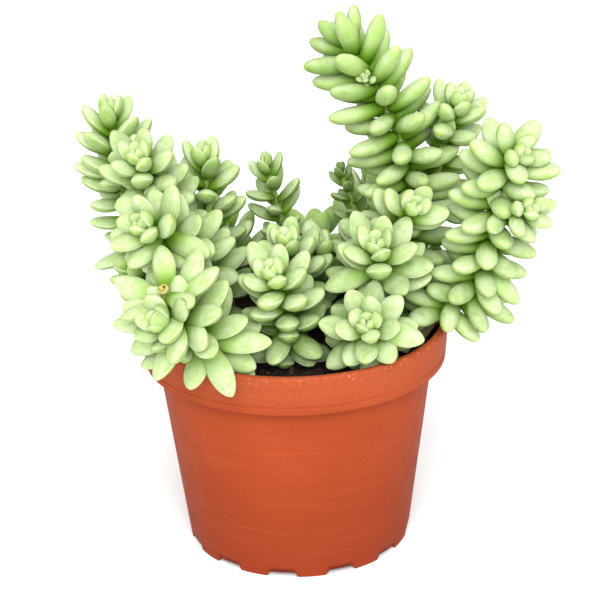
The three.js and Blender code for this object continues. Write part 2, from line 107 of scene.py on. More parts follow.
GOLDEN_ANGLE = math.radians(137.508)
CLEARANCE = 0.3
POT_CLEARANCE = 0.4
CLEARANCE_STATIONS = (0.24, 0.4, 0.56, 0.72, 0.86, 0.95)
OUTER_STATIONS = 2
ROUTE_SAMPLES = 24
STEP = 1.5
CLOSER = 0.78
YOUNG_GROWTH = 0.85
YOUNG_SLENDER = 0.65
YOUNG_GAP = 0.18
OLD_AFTER = 20
OLD_SHRINK = 0.1
TILT_DRAW = 5
TURN_DRAW = 7
LENGTH_DRAW = 0.08
LEAST_TILT = 0.1
GROWN_AGE = 0.5
NEARBY = 36
OWN_SHARE = 0.85

# Five habits of growth. leaf, width and thick are a grown leaf's size, gap is the rise from one leaf to the
# next, young is the number of leaves still growing at the tip, open how far past them leaves spread, tilts
# the leaf's angles from the stem at the tip, past the young leaves and far down, blunt rounds its ends, curve
# bends it and edge sharpens the line where its upper and lower faces meet.
HABITS = {
    "broad": dict(leaf=18.5, width=8.8, thick=6, gap=1.75, young=13, open=1.35, blunt=0.54,
                  tilts=(10, 72, 94), curve=16, edge=0.3),
    "plump": dict(leaf=18, width=7.4, thick=6.4, gap=1.75, young=11, open=1.25, blunt=0.42,
                  tilts=(12, 64, 86), curve=14, edge=0.05),
    "close": dict(leaf=15.5, width=7.8, thick=6, gap=1.8, young=12, open=1.4, blunt=0.47,
                  tilts=(10, 68, 91), curve=20, edge=0.18),
    "loose": dict(leaf=15, width=6.9, thick=5.4, gap=2, young=10, open=1.3, blunt=0.47,
                  tilts=(10, 62, 88), curve=20, edge=0.16),
    "small": dict(leaf=11, width=5.2, thick=4.1, gap=2.6, young=9, open=1.2, blunt=0.48,
                  tilts=(10, 60, 84), curve=16, edge=0.14),
}
USUAL = dict(bud=0.1, first=0.3, phase=0, base=2, tip=1.2, deep=0, cut=False, aims=())

# Places kept free of leaves, as a centre and a radius: the cut end of the front left stem shows there.
KEPT_FREE = ((-42.5, -56, 116.5, 3.2),)

# Each stem runs through its points from the soil to its tip. bare is its leafless length above the soil, base
# and tip are its radii, first is how far its topmost leaf stands below the tip, bud that leaf's share of a grown
# one and phase the way that it faces, in degrees. aims are leaves given one by one: back from the tip, reached
# point, length. A shoot names the stem that it grows from in on. deep is painted shade: how much darker its
# green is made because the stem stands back in the plant's shade. cut marks an end that was cut off.
STEMS = [
    dict(name="stem_front_left", habit="broad", bare=12, leaf=20.5, width=8.6, gap=2.05, young=4, bud=0.8,
         first=2.5, tilts=(70, 76, 94), phase=41.5, tip=1.8, cut=True,
         aims=((27, (-18.5, -60, 78), 25), (16, (-45, -62, 85.5), 22), (29, (-7, -50, 92), 25)),
         points=((-24, -22, 74), (-27.5, -33, 84), (-33, -43, 95), (-38, -49.5, 105), (-41.5, -53, 114))),
    dict(name="front_shoot", on="stem_front_left", habit="broad", bare=3, leaf=17, width=8.4,
         points=((-34, -46, 98.5), (-37.5, -53, 102), (-40.5, -58.5, 105), (-42.5, -63, 107.5))),
    dict(name="stem_tall", habit="plump", bare=14, leaf=19.4, width=7.6, young=10, bud=0.07, first=1,
         tilts=(15, 68, 89), phase=228,
         points=((38.5, 10, 74), (39.5, 8, 98), (40.5, 6, 118), (40, 4, 132), (37, 3, 146), (31.5, 3, 158.5),
                 (26, 4, 168.5), (21.5, 6, 175), (18, 9, 180))),
    dict(name="tall_bud", on="stem_tall", habit="small", bare=1, leaf=5, width=3, thick=2.4, gap=0.9,
         deep=0.4, base=0.8, tip=0.6, points=((28, 3.5, 165.5), (26.5, -0.5, 167), (25.5, -3.5, 168.5))),
    dict(name="stem_right_outer", habit="plump", bare=10, leaf=17, width=8, gap=1.65, tilts=(10, 78, 102),
         phase=215,
         aims=((48, (73.5, -22, 93.5), 18), (61, (73.5, -24, 87), 18.5)),
         points=((43, -7, 74), (52, -11, 88.5), (60.5, -14, 96), (64, -16.5, 106), (66.5, -18.5, 118),
                 (68.5, -20, 130), (70, -21.5, 139), (71.5, -25, 145.5), (74, -31, 149))),
    dict(name="outer_shoot", on="stem_right_outer", habit="loose", bare=4, leaf=12.8, width=6.3, gap=1.6, phase=59,
         points=((68, -19.5, 122), (70.5, -25, 126), (74, -31, 129.5), (76.5, -37, 132.5))),
    dict(name="stem_front_right", habit="broad", bare=6, leaf=17, width=8.2, gap=1.6,
         aims=((7.5, (42.5, -42, 90), 18.5), (15, (16.5, -45, 82.5), 16)),
         points=((26.5, -14, 74), (26, -24, 82), (24.5, -34, 89.5), (23.5, -45, 97))),
    dict(name="stem_right_front", habit="broad", bare=8, leaf=19, gap=1.6,
         aims=((23.5, (49, -18, 93), 20), (11.5, (10, -26, 101), 20), (13, (47.5, -24, 106), 19)),
         points=((31.5, 0, 74), (31, -8, 89.5), (29.5, -17, 104), (28, -27, 117))),
    dict(name="stem_center_front", habit="close", bare=3, leaf=15.5, width=8.2, gap=1.75,
         aims=((29.5, (-8.5, -41, 81), 19), (31, (8, -38, 81.5), 18)),
         points=((-2, -17, 74), (-2, -22, 82), (-3.5, -27, 96), (-5.5, -31, 106), (-7, -37, 113))),
    dict(name="stem_left_low", habit="close", bare=12, leaf=17, width=8,
         points=((-26, 2, 74), (-28, -4, 95.5), (-33.5, -14, 111), (-41, -26, 122), (-48, -40, 131.5))),
    dict(name="stem_right_middle", habit="close", bare=22,
         points=((21, 13, 74), (25.5, 8, 98.5), (31.5, -2, 111.5), (36.5, -12, 121), (40.5, -23, 129))),
    dict(name="stem_left_middle", habit="close", bare=16, leaf=16, width=7.4,
         points=((-32, 16, 74), (-38, 10, 99.5), (-43.5, 2, 119.5), (-47.5, -8, 135.5), (-50, -19, 148))),
    dict(name="stem_center", habit="close", bare=10, leaf=14.5, width=7.4,
         points=((3, 0, 74), (2, -3, 93.5), (-0.5, -8, 105), (-2, -14, 115.5))),
    dict(name="stem_right_back", habit="close", bare=26, leaf=14.5, width=6.8,
         points=((39, 21, 74), (48, 18, 105), (51, 12, 129.5), (54, 6, 147), (57, -1, 159))),
    dict(name="stem_left_outer", habit="loose", bare=14, leaf=15.5, gap=2.1, phase=105, deep=0.15,
         aims=((16, (-74, 18, 144.5), 15), (24.5, (-75, 20, 132), 15.5), (55, (-70.5, 22, 93), 19)),
         points=((-37, 27, 74), (-42, 27, 84), (-51, 26, 96), (-58, 22, 117), (-60.5, 18, 136),
                 (-61.5, 16, 153.5))),
    dict(name="stem_left_back", habit="loose", bare=14, leaf=15.5, width=7.3, gap=2.05,
         points=((-23, 26, 74), (-25.5, 22, 94.5), (-28, 17, 112.5), (-29.5, 13, 127), (-30, 11, 137.5))),
    dict(name="stem_back_slender", habit="small", bare=16, leaf=12.5, width=5.8, base=1.5, tip=0.9, deep=0.35,
         points=((-1, 36, 74), (-2.5, 34, 97), (-4.5, 31, 110.5), (-7, 28, 122.5), (-8.5, 27, 130))),
    dict(name="stem_back_sprig", habit="small", bare=20, leaf=8.5, width=4, thick=3, gap=2.4, base=1.3,
         tip=0.8, deep=0.7, points=((27, 34, 74), (25.5, 36, 97.5), (22, 34, 111.5), (19, 33, 120.5),
                                    (18, 34, 125.5))),
    dict(name="stem_center_back", habit="close", bare=8, width=8.4,
         points=((8.5, 12, 74), (11, 10, 88), (11, 8, 99), (9, 4, 107))),
    dict(name="stem_rear_left", habit="close", bare=10,
         points=((-14, 37, 74), (-22, 46, 91), (-32, 56, 97), (-41, 64, 95))),
    dict(name="stem_rear_middle", habit="close", bare=10,
         points=((6, 41, 74), (7, 47, 85.5), (8, 60, 88.5), (9, 71, 80))),
    dict(name="stem_rear_right", habit="close", bare=12,
         points=((14, 38, 74), (21, 46, 92), (30, 55, 105), (36, 61, 114))),
    dict(name="stem_far_left", habit="loose", bare=10, leaf=13,
         points=((-42, 9, 74), (-50.5, 12, 90.5), (-58.5, 16.5, 97.5))),
    dict(name="stem_far_right", habit="close", bare=12, leaf=14,
         points=((43.5, 3, 74), (50.5, 13, 91), (61, 24, 93), (69, 31, 85))),
]


def unit(v):
    return v / math.sqrt(float(v @ v))


def ease(t):
    s = min(max(t, 0.0), 1.0)
    return s * s * (3 - 2 * s)


class Draws:
    """Seeded random draws, even between -amount and amount."""

    def __init__(self, seed):
        self.state = seed

    def spread(self, amount):
        self.state = (self.state * 1664525 + 1013904223) % 4294967296
        return (2 * self.state / 4294967296 - 1) * amount


class Route:
    """A smooth curve through its points, with side directions carried along it untwisted."""

    def __init__(self, points):
        p = np.array(points, float)
        p = np.vstack([2 * p[0] - p[1], p, 2 * p[-1] - p[-2]])
        t = (np.arange(ROUTE_SAMPLES) / ROUTE_SAMPLES)[:, None]
        spans = [0.5 * (2 * b + (c - a) * t + (2 * a - 5 * b + 4 * c - d) * t ** 2
                        + (3 * b - a - 3 * c + d) * t ** 3) for a, b, c, d in zip(p, p[1:], p[2:], p[3:])]
        self.points = np.vstack([*spans, p[-2]])
        self.marks = np.concatenate([[0], np.cumsum(np.linalg.norm(np.diff(self.points, axis=0), axis=1))])
        self.length = float(self.marks[-1])
        self.sides = []
        side = np.array([0, -1.0, 0])
        count = math.floor(self.length / STEP)
        for k in range(count + 1):
            heading = self.heading(self.length * k / count)
            side = unit(side - heading * (side @ heading))
            self.sides.append(side)

    def at(self, distance):
        d = min(max(distance, 0), self.length)
        return np.array([np.interp(d, self.marks, self.points[:, k]) for k in range(3)])

    def heading(self, distance):
        return unit(self.at(distance + STEP) - self.at(distance - STEP))

    def axes(self, distance):
        along = self.heading(distance)
        mark = math.floor(distance / self.length * (len(self.sides) - 1) + 0.5)
        side = self.sides[min(max(mark, 0), len(self.sides) - 1)]
        first = unit(side - along * (side @ along))
        return along, first, np.cross(along, first)


def outline(u, blunt):
    """A leaf's half-width from root (0) to tip (1), as a share of its widest."""
    return max(math.sin(math.pi * u ** 1.2), 0) ** blunt + 0.3 * max(1 - u / 0.35, 0)


def stem_radius(stem, distance):
    return stem["base"] + (stem["tip"] - stem["base"]) * distance / stem["route"].length


def leaves_wanted(stem):
    draws = Draws(stem["seed"])
    route = stem["route"]
    leaves = []
    for back, aim, length in stem["aims"]:
        at = route.length - back
        along, first, second = route.axes(at)
        way = unit(np.array(aim, float) - route.at(at))
        leaves.append(dict(at=at, length=length, age=1.0, width=stem["width"], thick=stem["thick"],
                           curve=0.5 * math.radians(stem["curve"]),
                           azimuth=math.atan2(way @ second, way @ first), tilt=math.acos(way @ along)))
    near, middle, far = stem["tilts"]
    lowest = stem["bare"] + (0 if "on" in stem else BURIED)
    young = stem["young"]
    back = stem["first"]
    i = 0
    while route.length - back > lowest:
        age = ease(i / young)
        old = ease((i - young) * CLOSER / OLD_AFTER)
        size = (stem["bud"] + (1 - stem["bud"]) * min(i / young, 1) ** YOUNG_GROWTH) * (1 - OLD_SHRINK * old)
        tilt = near + (middle - near) * ease(i / (stem["open"] * young)) + (far - middle) * old
        tilt += draws.spread(TILT_DRAW) * age
        azimuth = math.radians(stem["phase"] + draws.spread(TURN_DRAW) * age) + GOLDEN_ANGLE * i
        leaves.append(dict(at=route.length - back, age=age, tilt=math.radians(tilt), azimuth=azimuth,
                           length=stem["leaf"] * size * (1 + draws.spread(LENGTH_DRAW) * age),
                           width=stem["width"] * size ** YOUNG_SLENDER, thick=stem["thick"] * size ** YOUNG_SLENDER,
                           curve=math.radians(stem["curve"]) * (0.6 + 0.4 * age)))
        i += 1
        back += CLOSER * stem["gap"] * (YOUNG_GAP + (1 - YOUNG_GAP) * ease(i / young))
    return leaves


def posed(stem, leaf, tilt_bend, turn_bend, shrink):
    """A leaf set on its stem. way is where it points, up is where its upper face looks."""
    tilt = leaf["tilt"] + math.radians(tilt_bend)
    azimuth = leaf["azimuth"] + math.radians(turn_bend)
    along, first, second = stem["route"].axes(leaf["at"])
    out = first * math.cos(azimuth) + second * math.sin(azimuth)
    way = along * math.cos(tilt) + out * math.sin(tilt)
    up = along * math.sin(tilt) - out * math.cos(tilt)
    return dict(leaf, way=way, up=up, across=np.cross(way, up), blunt=stem["blunt"], edge=stem["edge"],
                deep=stem["deep"], root=stem["route"].at(leaf["at"]) + out * 0.5 * stem["tip"],
                length=leaf["length"] * shrink, width=leaf["width"] * shrink ** 0.5)


def on_axis(leaf, u):
    return leaf["root"] + leaf["length"] * (u * leaf["way"] + 0.5 * leaf["curve"] * u * u * leaf["up"])


def balls_in(leaf):
    """Balls that fill a leaf, for its clearance: two side by side at each station."""
    balls = []
    for u in CLEARANCE_STATIONS:
        share = outline(u, leaf["blunt"])
        reach = 0.5 * (leaf["width"] - leaf["thick"]) * share
        for side in (-reach, reach):
            balls.append([*(on_axis(leaf, u) + side * leaf["across"]), 0.5 * leaf["thick"] * share])
    return np.array(balls)


# Bends tried in turn on a leaf that is in the way: tilt and turn in degrees, and a share of its length. Those
# that change it least come first.
BENDS = sorted(((tilt, turn, shrink) for shrink in (1, 0.88, 0.76, 0.64)
                for tilt in (0, -12, 12, -24, 24, -36, 36, -48) for turn in (0, 14, -14, 28, -28)),
               key=lambda bend: abs(bend[0]) / 12 + abs(bend[1]) / 13 + (1 - bend[2]) / 0.075)


def touches_pot(balls):
    outward = np.hypot(balls[:, 0], balls[:, 1])
    radius = balls[:, 3]
    low = balls[:, 2] - radius
    in_soil = (low < SOIL_TOP + POT_CLEARANCE) & (outward < RIM_INNER_RADIUS)
    in_wall = ((low < RIM_TOP + POT_CLEARANCE) & (outward - radius < RIM_RADIUS + POT_CLEARANCE)
               & (outward + radius > RIM_INNER_RADIUS - POT_CLEARANCE))
    return bool((in_soil | in_wall).any())


def too_near(balls, others, gap, share):
    """Whether any two balls, each with this share of its radius, are closer than the gap."""
    if not len(others):
        return False
    apart = np.linalg.norm(balls[:, None, :3] - others[None, :, :3], axis=2)
    return bool((apart < share * (balls[:, None, 3] + others[None, :, 3]) + gap).any())


def within(balls, centre, reach):
    return balls[np.abs(balls[:, :3] - centre).max(axis=1) < reach]


def settled(stem, leaf, others, grown):
    """Bends or shortens a leaf, as little as it takes, until it is clear of the pot and its neighbours."""
    root = stem["route"].at(leaf["at"])
    near_others = within(others, root, NEARBY)
    near_grown = within(grown, root, NEARBY)
    for bend in BENDS:
        if leaf["tilt"] + math.radians(bend[0]) < LEAST_TILT:
            continue
        trial = posed(stem, leaf, *bend)
        balls = balls_in(trial)
        if touches_pot(balls) or too_near(balls, near_others, CLEARANCE, 1):
            continue
        if leaf["age"] > GROWN_AGE and too_near(balls[2 * OUTER_STATIONS:], near_grown, 0, OWN_SHARE):
            continue
        return trial, balls
    return None, None


def grow():
    stems = []
    chains = {}
    for index, given in enumerate(STEMS):
        stem = {**USUAL, **HABITS[given["habit"]], **given, "seed": 7 * index + 3, "leaves": []}
        stem["node"] = stem.get("on", stem["name"])
        points = list(stem["points"])
        if "on" not in stem:
            x, y, _ = points[0]
            points.insert(0, (x * FOOT_DRAWN_IN, y * FOOT_DRAWN_IN, SOIL_TOP - BURIED))
        stem["route"] = Route(points)
        steps = np.arange(0, stem["route"].length - STEP, STEP)
        chain = [[*stem["route"].at(d), stem_radius(stem, d)] for d in steps]
        chains.setdefault(stem["node"], []).extend(chain)
        stems.append(stem)
    filled = {node: np.array(chain) for node, chain in chains.items()}
    grown = {node: np.zeros((0, 4)) for node in chains}
    for stem in stems:
        node = stem["node"]
        others = np.concatenate([np.array(KEPT_FREE), *(balls for name, balls in filled.items() if name != node)])
        for wanted in leaves_wanted(stem):
            leaf, balls = settled(stem, wanted, others, grown[node])
            if leaf is None:
                continue
            stem["leaves"].append(leaf)
            filled[node] = np.concatenate([filled[node], balls])
            if wanted["age"] > GROWN_AGE:
                grown[node] = np.concatenate([grown[node], balls[2 * OUTER_STATIONS:]])
    return stems


# ---- Meshes

class Shape:
    """Gathers closed bodies for one mesh, with a value of each named attribute on every point."""

    def __init__(self, *attributes):
        self.points = []
        self.faces = []
        self.slots = []
        self.values = {name: [] for name in attributes}
        self.count = 0

    def add(self, points, faces, slot=0, **values):
        self.points.append(points)
        self.faces.extend(tuple(self.count + k for k in face) for face in faces)
        self.slots.extend([slot] * len(faces))
        for name, given in self.values.items():
            given.append(np.broadcast_to(np.asarray(values.get(name, 0.0), float), len(points)))
        self.count += len(points)

    def object(self, name, materials):
        mesh = bpy.data.meshes.new(name)
        points = np.vstack(self.points) * MM + np.array(POT_AXIS)
        mesh.from_pydata(points.tolist(), [], self.faces)
        mesh.polygons.foreach_set("use_smooth", [True] * len(self.faces))
        mesh.polygons.foreach_set("material_index", self.slots)
        for attribute, given in self.values.items():
            layer = mesh.attributes.new(attribute, "FLOAT", "POINT")
            layer.data.foreach_set("value", np.concatenate(given).astype(np.float32))
        for material in materials:
            mesh.materials.append(material)
        mesh.update()
        made = bpy.data.objects.new(name, mesh)
        bpy.context.scene.collection.objects.link(made)
        return made


def loft_faces(rings, sides):
    """Faces of a closed body: a first point, rings of points and a last point."""
    faces = [(0, 1 + (i + 1) % sides, 1 + i) for i in range(sides)]
    for k in range(rings - 1):
        low = 1 + k * sides
        for i in range(sides):
            j = (i + 1) % sides
            faces.append((low + i, low + j, low + sides + j, low + sides + i))
    low = 1 + (rings - 1) * sides
    faces += [(low + i, low + (i + 1) % sides, low + sides) for i in range(sides)]
    return faces


LEAF_SIDES = 18
LEAF_RINGS = 15
LEAF_FACES = loft_faces(LEAF_RINGS, LEAF_SIDES)
SHARP_EDGE = 0.14
LEAF_TWIST = 0.14
LEAF_LEAN = 0.06
LEAF_RIPPLE = 0.025
TIP_REACH = 1.005
RING_SHARES = 0.5 - 0.5 * np.cos(np.pi * np.arange(1, LEAF_RINGS + 1) / (LEAF_RINGS + 1))
ROUND = 2 * np.pi * np.arange(LEAF_SIDES) / LEAF_SIDES


def add_leaf(shape, leaf, draws):
    """A plump leaf: fuller below than above, with a soft edge where its two faces meet."""
    twist = draws.spread(LEAF_TWIST)
    lean = draws.spread(LEAF_LEAN)
    dent = draws.spread(math.pi)
    seed = 0.5 + draws.spread(0.5)
    width = np.array([outline(u, leaf["blunt"]) for u in RING_SHARES])[:, None]
    u = RING_SHARES[:, None]
    cos, sin = np.cos(ROUND)[None], np.sin(ROUND)[None]
    ripple = 1 + LEAF_RIPPLE * np.sin(2 * ROUND[None] + dent + 5 * u) * np.sin(math.pi * u)
    flat = np.where(sin > 0, 1 - 0.8 * leaf["edge"], 1 + 0.25 * leaf["edge"])
    x = 0.5 * leaf["width"] * width * cos * ripple
    y = 0.5 * leaf["thick"] * width * sin * np.abs(sin) ** (0.06 + leaf["edge"]) * flat * ripple
    turn = twist * u
    x, y = x * np.cos(turn) - y * np.sin(turn), x * np.sin(turn) + y * np.cos(turn)
    tangent = leaf["way"] + leaf["curve"] * u * leaf["up"]
    tangent /= np.linalg.norm(tangent, axis=1)[:, None]
    up = np.cross(leaf["across"], tangent)
    centre = (leaf["root"] + leaf["length"] * (u * leaf["way"] + 0.5 * leaf["curve"] * u * u * leaf["up"]
                                               + lean * u * u * leaf["across"]))
    rings = centre[:, None] + x[..., None] * leaf["across"] + y[..., None] * up[:, None]
    tip = leaf["root"] + leaf["length"] * (TIP_REACH * leaf["way"] + 0.5 * leaf["curve"] * leaf["up"]
                                           + lean * leaf["across"])
    points = np.vstack([leaf["root"], rings.reshape(-1, 3), tip])

    def spread(values, first, last):
        return np.concatenate([[first], np.broadcast_to(values, x.shape).ravel(), [last]])

    crisp = min(leaf["edge"] / SHARP_EDGE, 1)
    shape.add(points, LEAF_FACES, 0, along=spread(u, 0, 1), margin=spread(crisp * np.abs(cos), 0, crisp),
              face=spread(sin, 0, 0), age=leaf["age"], deep=leaf["deep"], seed=seed)


STEM_SIDES = 14
STEM_PITCH = 0.7


def add_stem(shape, stem, draws):
    """A stem's own body, ringed where leaves have left it."""
    route = stem["route"]
    count = math.ceil(route.length / STEM_PITCH)
    distances = np.linspace(0, route.length, count + 1)
    phase = draws.spread(math.pi)
    rings = []
    for d in distances:
        _, first, second = route.axes(d)
        swell = 1 + 0.05 * math.sin(2.1 * d + phase) + 0.03 * math.sin(5.3 * d + 2 * phase)
        angle = 2 * np.pi * np.arange(STEM_SIDES)[:, None] / STEM_SIDES
        radius = stem_radius(stem, d) * swell * (1 + 0.04 * np.sin(3 * angle + GOLDEN_ANGLE * d))
        rings.append(route.at(d) + radius * (np.cos(angle) * first + np.sin(angle) * second))
    points = np.vstack([route.at(0), *rings, route.at(route.length)])
    along = np.concatenate([[0], np.repeat(distances / route.length, STEM_SIDES), [1]])
    shape.add(points, loft_faces(len(rings), STEM_SIDES), 1, along=along, seed=0.5 + draws.spread(0.5))


SCAR_SIDES = 20
SCAR_RINGS = ((1.0, -0.5), (1.12, -0.1), (1.1, 0.25), (0.9, 0.42), (0.66, 0.3), (0.42, 0.12), (0.2, 0.02))


def add_scar(shape, stem, draws):
    """The dry, sunken end that a cut left on a stem: rings of reach and height, in shares of its radius."""
    route = stem["route"]
    along, first, second = route.axes(route.length)
    tip = route.at(route.length)
    angle = 2 * np.pi * np.arange(SCAR_SIDES)[:, None] / SCAR_SIDES
    uneven = 1 + 0.07 * np.sin(2 * angle + 1) + 0.05 * np.sin(5 * angle)
    rings = [tip + stem["tip"] * (reach * uneven * (np.cos(angle) * first + np.sin(angle) * second)
                                  + (height + draws.spread(0.04)) * along) for reach, height in SCAR_RINGS]
    points = np.vstack([tip - 0.6 * stem["tip"] * along, *rings, tip])
    inward = np.concatenate([[0], np.repeat(np.linspace(0, 1, len(rings)), SCAR_SIDES), [1]])
    shape.add(points, loft_faces(len(rings), SCAR_SIDES), 2, along=inward)


# ---- Materials: distances inside them are metres

# Where the colour mix node keeps its share, its first colour and its second one
MIX_SOCKETS = (0, 6, 7)


class Nodes:
    """Builds one material's node tree."""

    def __init__(self, name):
        self.material = bpy.data.materials.new(name)
        self.material.use_nodes = True
        self.tree = self.material.node_tree
        self.shader = self.tree.nodes["Principled BSDF"]
        self.place = self.add("ShaderNodeTexCoord").outputs["Object"]

    def add(self, kind, inputs=None, **settings):
        node = self.tree.nodes.new(kind)
        for name, value in settings.items():
            setattr(node, name, value)
        for name, value in (inputs or {}).items():
            if isinstance(value, bpy.types.NodeSocket):
                self.tree.links.new(value, node.inputs[name])
            else:
                node.inputs[name].default_value = value
        return node

    def value(self, attribute):
        return self.add("ShaderNodeAttribute", attribute_name=attribute).outputs["Fac"]

    def noise(self, scale, detail=3.0, roughness=0.5, place=None):
        inputs = {"Vector": place or self.place, "Scale": scale, "Detail": detail, "Roughness": roughness}
        return self.add("ShaderNodeTexNoise", inputs).outputs["Fac"]

    def stretched(self, x, y, z):
        node = self.add("ShaderNodeMapping", {"Vector": self.place, "Scale": (x, y, z)})
        return node.outputs["Vector"]

    def cells(self, scale):
        return self.add("ShaderNodeTexVoronoi", {"Vector": self.place, "Scale": scale}).outputs["Distance"]

    def height(self):
        return self.add("ShaderNodeSeparateXYZ", {"Vector": self.place}).outputs["Z"]

    def outward(self):
        flat = self.stretched(1.0, 1.0, 0.0)
        return self.add("ShaderNodeVectorMath", {0: flat}, operation="LENGTH").outputs["Value"]

    def span(self, value, low, high, new_low=0.0, new_high=1.0):
        inputs = {"Value": value, "From Min": low, "From Max": high, "To Min": new_low, "To Max": new_high}
        return self.add("ShaderNodeMapRange", inputs, interpolation_type="SMOOTHSTEP").outputs["Result"]

    def math(self, operation, a, b):
        return self.add("ShaderNodeMath", {0: a, 1: b}, operation=operation).outputs[0]

    def mix(self, share, a, b):
        node = self.add("ShaderNodeMix", data_type="RGBA")
        sockets = [node.inputs[k] for k in MIX_SOCKETS]
        for socket, value in zip(sockets, (share, a, b)):
            if isinstance(value, bpy.types.NodeSocket):
                self.tree.links.new(value, socket)
            else:
                socket.default_value = value
        return node.outputs[2]

    def set(self, **values):
        """Sets the shader's own sockets: a link where the value is a node's output."""
        for name, value in values.items():
            socket = self.shader.inputs[name.replace("_", " ")]
            if isinstance(value, bpy.types.NodeSocket):
                self.tree.links.new(value, socket)
            else:
                socket.default_value = value

    def bump(self, *heights):
        """Stacks heights, each with its depth in metres, on the shader's normal."""
        normal = None
        for height, depth in heights:
            inputs = {"Height": height, "Distance": depth, "Strength": 1.0}
            if normal is not None:
                inputs["Normal"] = normal
            normal = self.add("ShaderNodeBump", inputs).outputs["Normal"]
        self.tree.links.new(normal, self.shader.inputs["Normal"])


def rgb(red, green, blue):
    """A screen colour, 0 to 255, as the light it stands for."""
    def linear(c):
        c /= 255
        return c / 12.92 if c <= 0.04045 else ((c + 0.055) / 1.055) ** 2.4
    return (linear(red), linear(green), linear(blue), 1.0)


LEAF_GROWN = rgb(146, 178, 80)
LEAF_YOUNG = rgb(156, 185, 90)
LEAF_UNDER = rgb(130, 168, 60)
LEAF_ROOT_SHADE = rgb(80, 120, 18)
LEAF_DEEP_TONE_AND_SHADE = rgb(48, 84, 6)
LEAF_BLOOM = rgb(185, 196, 163)
LEAF_TIP = rgb(170, 184, 112)
LEAF_EDGE = rgb(210, 218, 180)
SHADED_WITHIN = (0.054, 0.032)
SHADED_BELOW = (0.118, 0.084)


def leaf_material():
    n = Nodes("waxy_leaf")
    along, age, margin, face, deep, seed = (n.value(v) for v in ("along", "age", "margin", "face", "deep", "seed"))
    skin = n.mix(age, LEAF_YOUNG, LEAF_GROWN)
    # Painted shade, in part: the lower face is mixed towards a deeper green, both the underside's own colour and
    # the shade that falls under a leaf.
    skin = n.mix(n.span(face, 0.1, -0.7, 0.0, 0.7), skin, LEAF_UNDER)
    skin = n.mix(n.span(n.noise(160.0), 0.35, 0.75, 0.0, 0.3), skin, LEAF_UNDER)
    # Painted shade: leaves low down near the plant's middle, and stems set back in its shade, are mixed towards a
    # deeper green; a few leaves, chosen by seed, get a deeper tone of their own.
    shaded = n.math("MULTIPLY", n.span(n.outward(), *SHADED_WITHIN), n.span(n.height(), *SHADED_BELOW, 0.0, 0.8))
    darker = n.math("MAXIMUM", n.span(seed, 0.7, 1.0, 0.0, 0.4), n.math("MAXIMUM", deep, shaded))
    skin = n.mix(darker, skin, LEAF_DEEP_TONE_AND_SHADE)
    # Painted shade: each leaf's root end, which sits in the crevices between leaves, is mixed towards a dark green.
    skin = n.mix(n.span(along, 0.62, 0.06), skin, LEAF_ROOT_SHADE)
    girth = n.add("ShaderNodeCombineXYZ", {"X": face, "Y": n.math("MULTIPLY", along, 0.35),
                                           "Z": n.math("MULTIPLY", seed, 40.0)}).outputs["Vector"]
    streaks = n.noise(5.5, 3.0, 0.6, girth)
    patches = n.mix(0.4, n.noise(300.0, 4.0, 0.6), streaks)
    patches = n.span(patches, 0.34, 0.66, 0.3, 0.92)
    rubbed = n.span(n.noise(1100.0, 2.0, 0.5, n.stretched(1.0, 1.0, 0.35)), 0.58, 0.7, 1.0, 0.7)
    # The waxy bloom is the leaf's own, but it is painted light as well: paler on upper faces, where light falls,
    # and thinned at the roots and wherever painted shade darkens the leaf.
    bloom_and_light = n.math("MULTIPLY", patches, n.span(face, -0.6, 0.6, 0.5, 1.0))
    bloom_and_light = n.math("MULTIPLY", bloom_and_light, n.math("MULTIPLY", rubbed, n.span(along, 0.2, 0.7, 0.0, 1.0)))
    bloom_and_light = n.math("MULTIPLY", bloom_and_light, n.span(darker, 0.0, 1.0, 1.0, 0.25))
    colour = n.mix(bloom_and_light, skin, LEAF_BLOOM)
    edge = n.math("MULTIPLY", n.span(margin, 0.95, 0.99), n.span(along, 0.2, 0.6, 0.0, 0.5))
    colour = n.mix(edge, colour, LEAF_EDGE)
    colour = n.mix(n.span(along, 0.93, 1.0, 0.0, 0.35), colour, LEAF_TIP)
    n.set(Base_Color=colour, Roughness=n.span(bloom_and_light, 0.0, 0.8, 0.34, 0.54), Subsurface_Weight=0.08,
          Subsurface_Radius=(0.6, 1.0, 0.2), Subsurface_Scale=0.0015, Specular_IOR_Level=0.1)
    n.bump((n.noise(520.0, 3.0), 0.00014), (streaks, 0.00008), (n.noise(2600.0, 2.0), 0.00003))
    return n.material


STEM_GREEN = rgb(130, 154, 80)
STEM_WOODY = rgb(130, 115, 80)
STEM_SCAR = rgb(172, 166, 122)


def stem_material():
    n = Nodes("succulent_stem")
    along = n.value("along")
    skin = n.mix(n.span(along, 0.75, 0.15), STEM_GREEN, STEM_WOODY)
    scars = n.span(n.cells(420.0), 0.32, 0.12)
    colour = n.mix(n.math("MULTIPLY", scars, 0.6), skin, STEM_SCAR)
    colour = n.mix(n.span(n.noise(700.0, 4.0), 0.45, 0.75, 0.0, 0.4), colour, STEM_WOODY)
    n.set(Base_Color=colour, Roughness=n.span(scars, 0.0, 1.0, 0.55, 0.75), Subsurface_Weight=0.1,
          Subsurface_Radius=(0.8, 1.0, 0.4), Subsurface_Scale=0.001)
    n.bump((scars, 0.0001), (n.noise(1500.0, 3.0), 0.00004))
    return n.material


SCAR_RIM = rgb(174, 178, 104)
SCAR_DRY = rgb(172, 162, 92)
SCAR_PIT = rgb(48, 30, 14)


